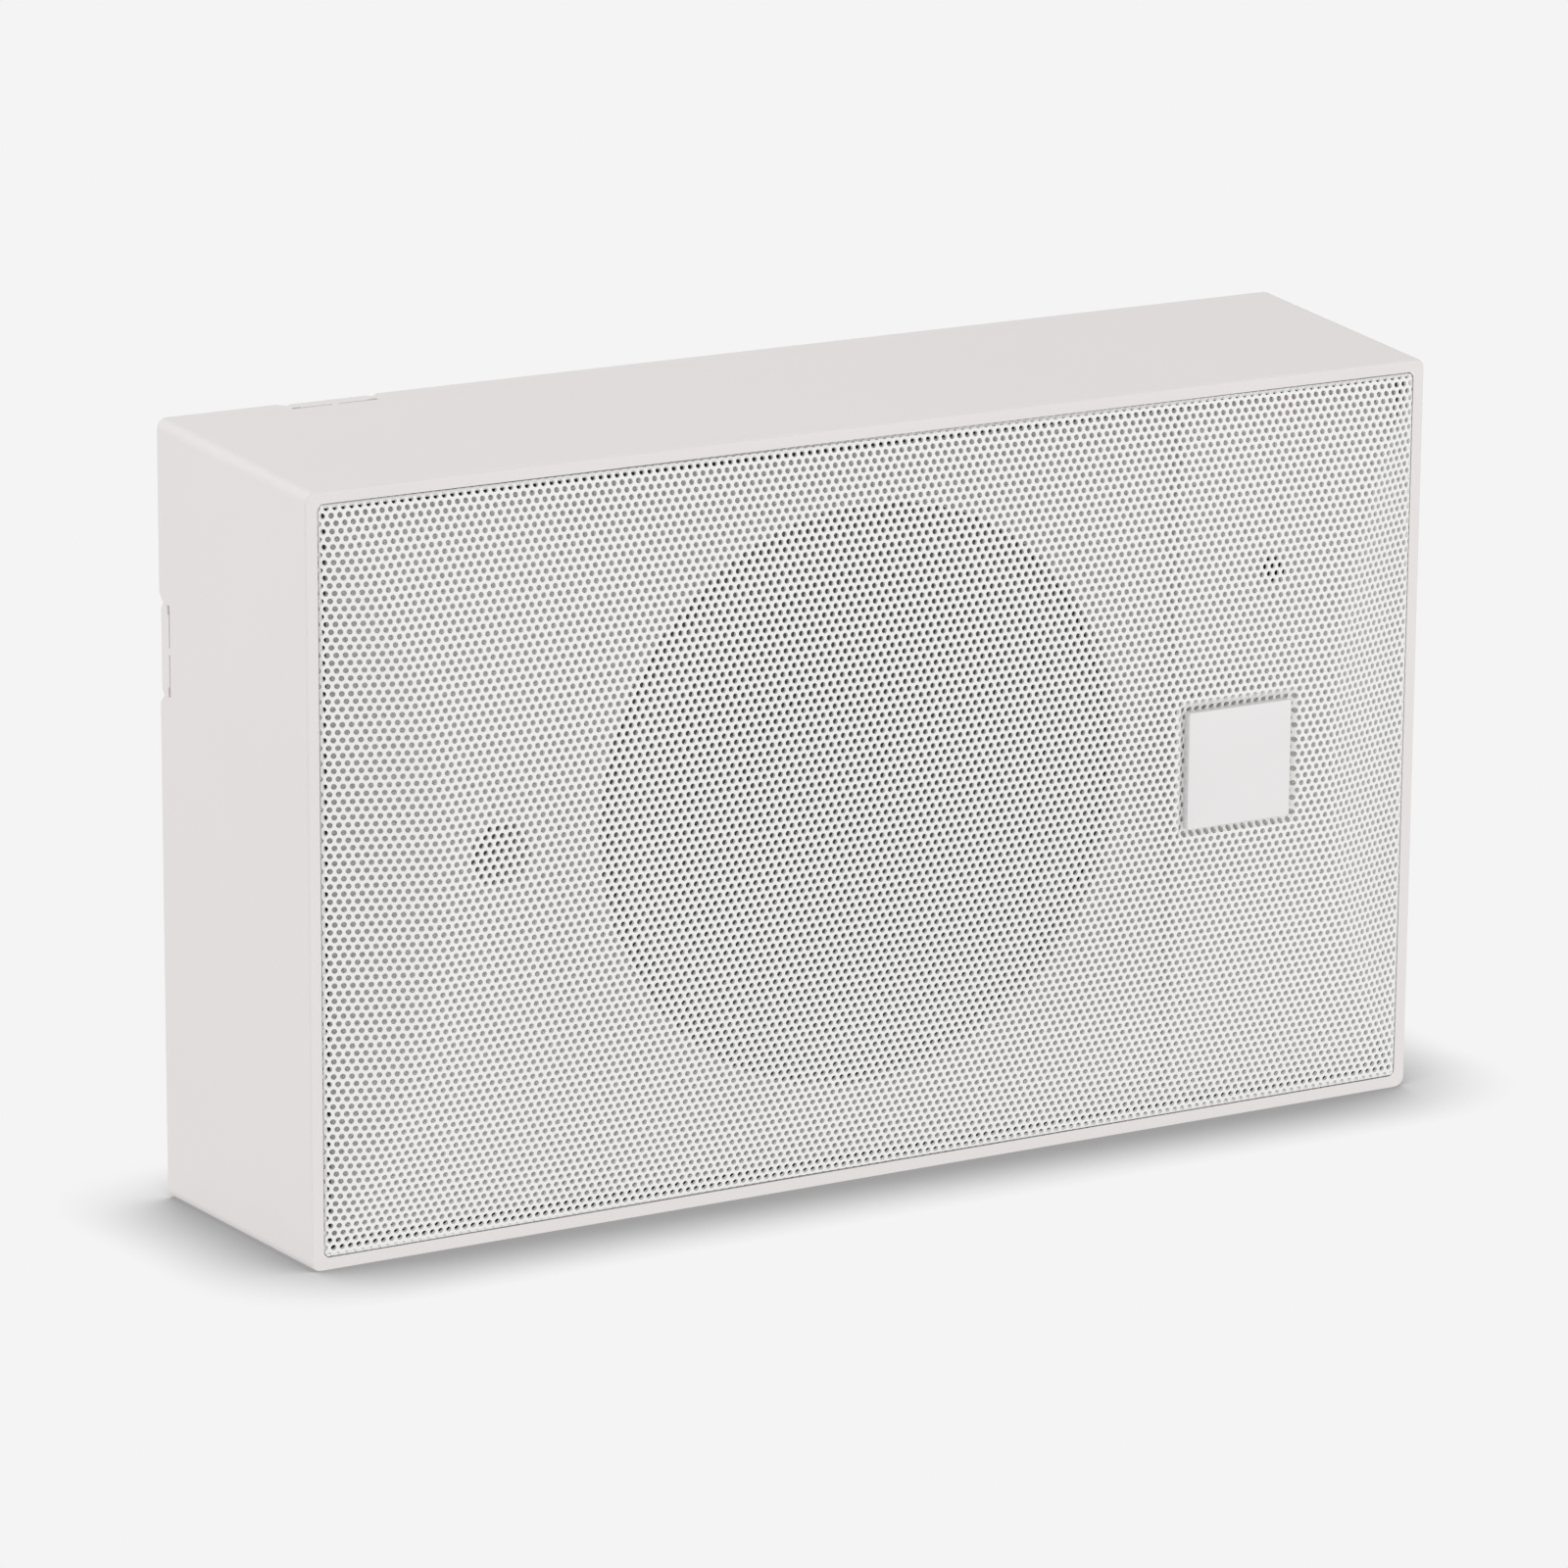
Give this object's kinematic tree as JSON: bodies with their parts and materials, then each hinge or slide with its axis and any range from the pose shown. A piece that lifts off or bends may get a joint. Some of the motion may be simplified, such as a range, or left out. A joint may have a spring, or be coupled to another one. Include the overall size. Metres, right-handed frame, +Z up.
{
  "type": "surface-mount speaker",
  "caption": "Wall loudspeaker: a tapered moulded case with an arched perforated grille, a slim round driver, a line transformer and a rear cable space.",
  "frame": {"origin": "middle of the wall face, between the two wall screw holes", "axes": "+Y into the wall, so the front faces -Y; +Z up; +X to the right seen from the front"},
  "size_m": [0.291, 0.0782, 0.1806],
  "materials": {
    "case": "fine texture, white",
    "grille": "powder coat, white",
    "badge": "satin white",
    "cover": "fine texture, white",
    "steel": "zinc plated",
    "black_screw": "black oxide",
    "foam": "soft foam",
    "basket": "satin black",
    "surround": "coated cloth",
    "cone": "pressed paper",
    "dust_cap": "pressed paper",
    "coil": "enamelled copper wire",
    "spider": "resined cloth",
    "ferrite": "sintered ferrite",
    "board": "laminate",
    "tinned": "tinned",
    "copper_braid": "braided copper",
    "core": "varnished sheets",
    "bobbin": "moulded nylon",
    "winding": "taped winding",
    "terminal": "moulded, black"
  },
  "bodies": {
    "cabinet_body": {"cabinet": "case", "grille": "grille", "badge": "badge", "badge_clips": "steel", "rear_cover": "cover", "rear_cover_screws": "steel", "driver_gasket": "foam", "driver_basket": "basket", "driver_surround": "surround", "spider": "spider", "top_plate": "steel", "magnet": "ferrite", "yoke": "steel", "terminal_board": "board", "terminal_lugs": "tinned", "tinsel_leads": "copper_braid", "driver_screws": "black_screw", "transformer_core": "core", "transformer_bobbin": "bobbin", "transformer_winding": "winding", "transformer_strap": "steel", "transformer_screw": "black_screw", "terminal_block": "terminal", "terminal_clamp_screws": "tinned"},
    "diaphragm": {"driver_cone": "cone", "dust_cap": "dust_cap", "voice_coil": "coil"}
  },
  "joints": [
    {"name": "cone_travel", "type": "slide", "parent": "cabinet_body", "child": "diaphragm", "axis": [0, -1, 0], "range_m": [-0.003, 0.003], "stiffness_N_per_m": 1500, "deforming": ["driver_surround", "spider", "tinsel_leads"]}
  ]
}
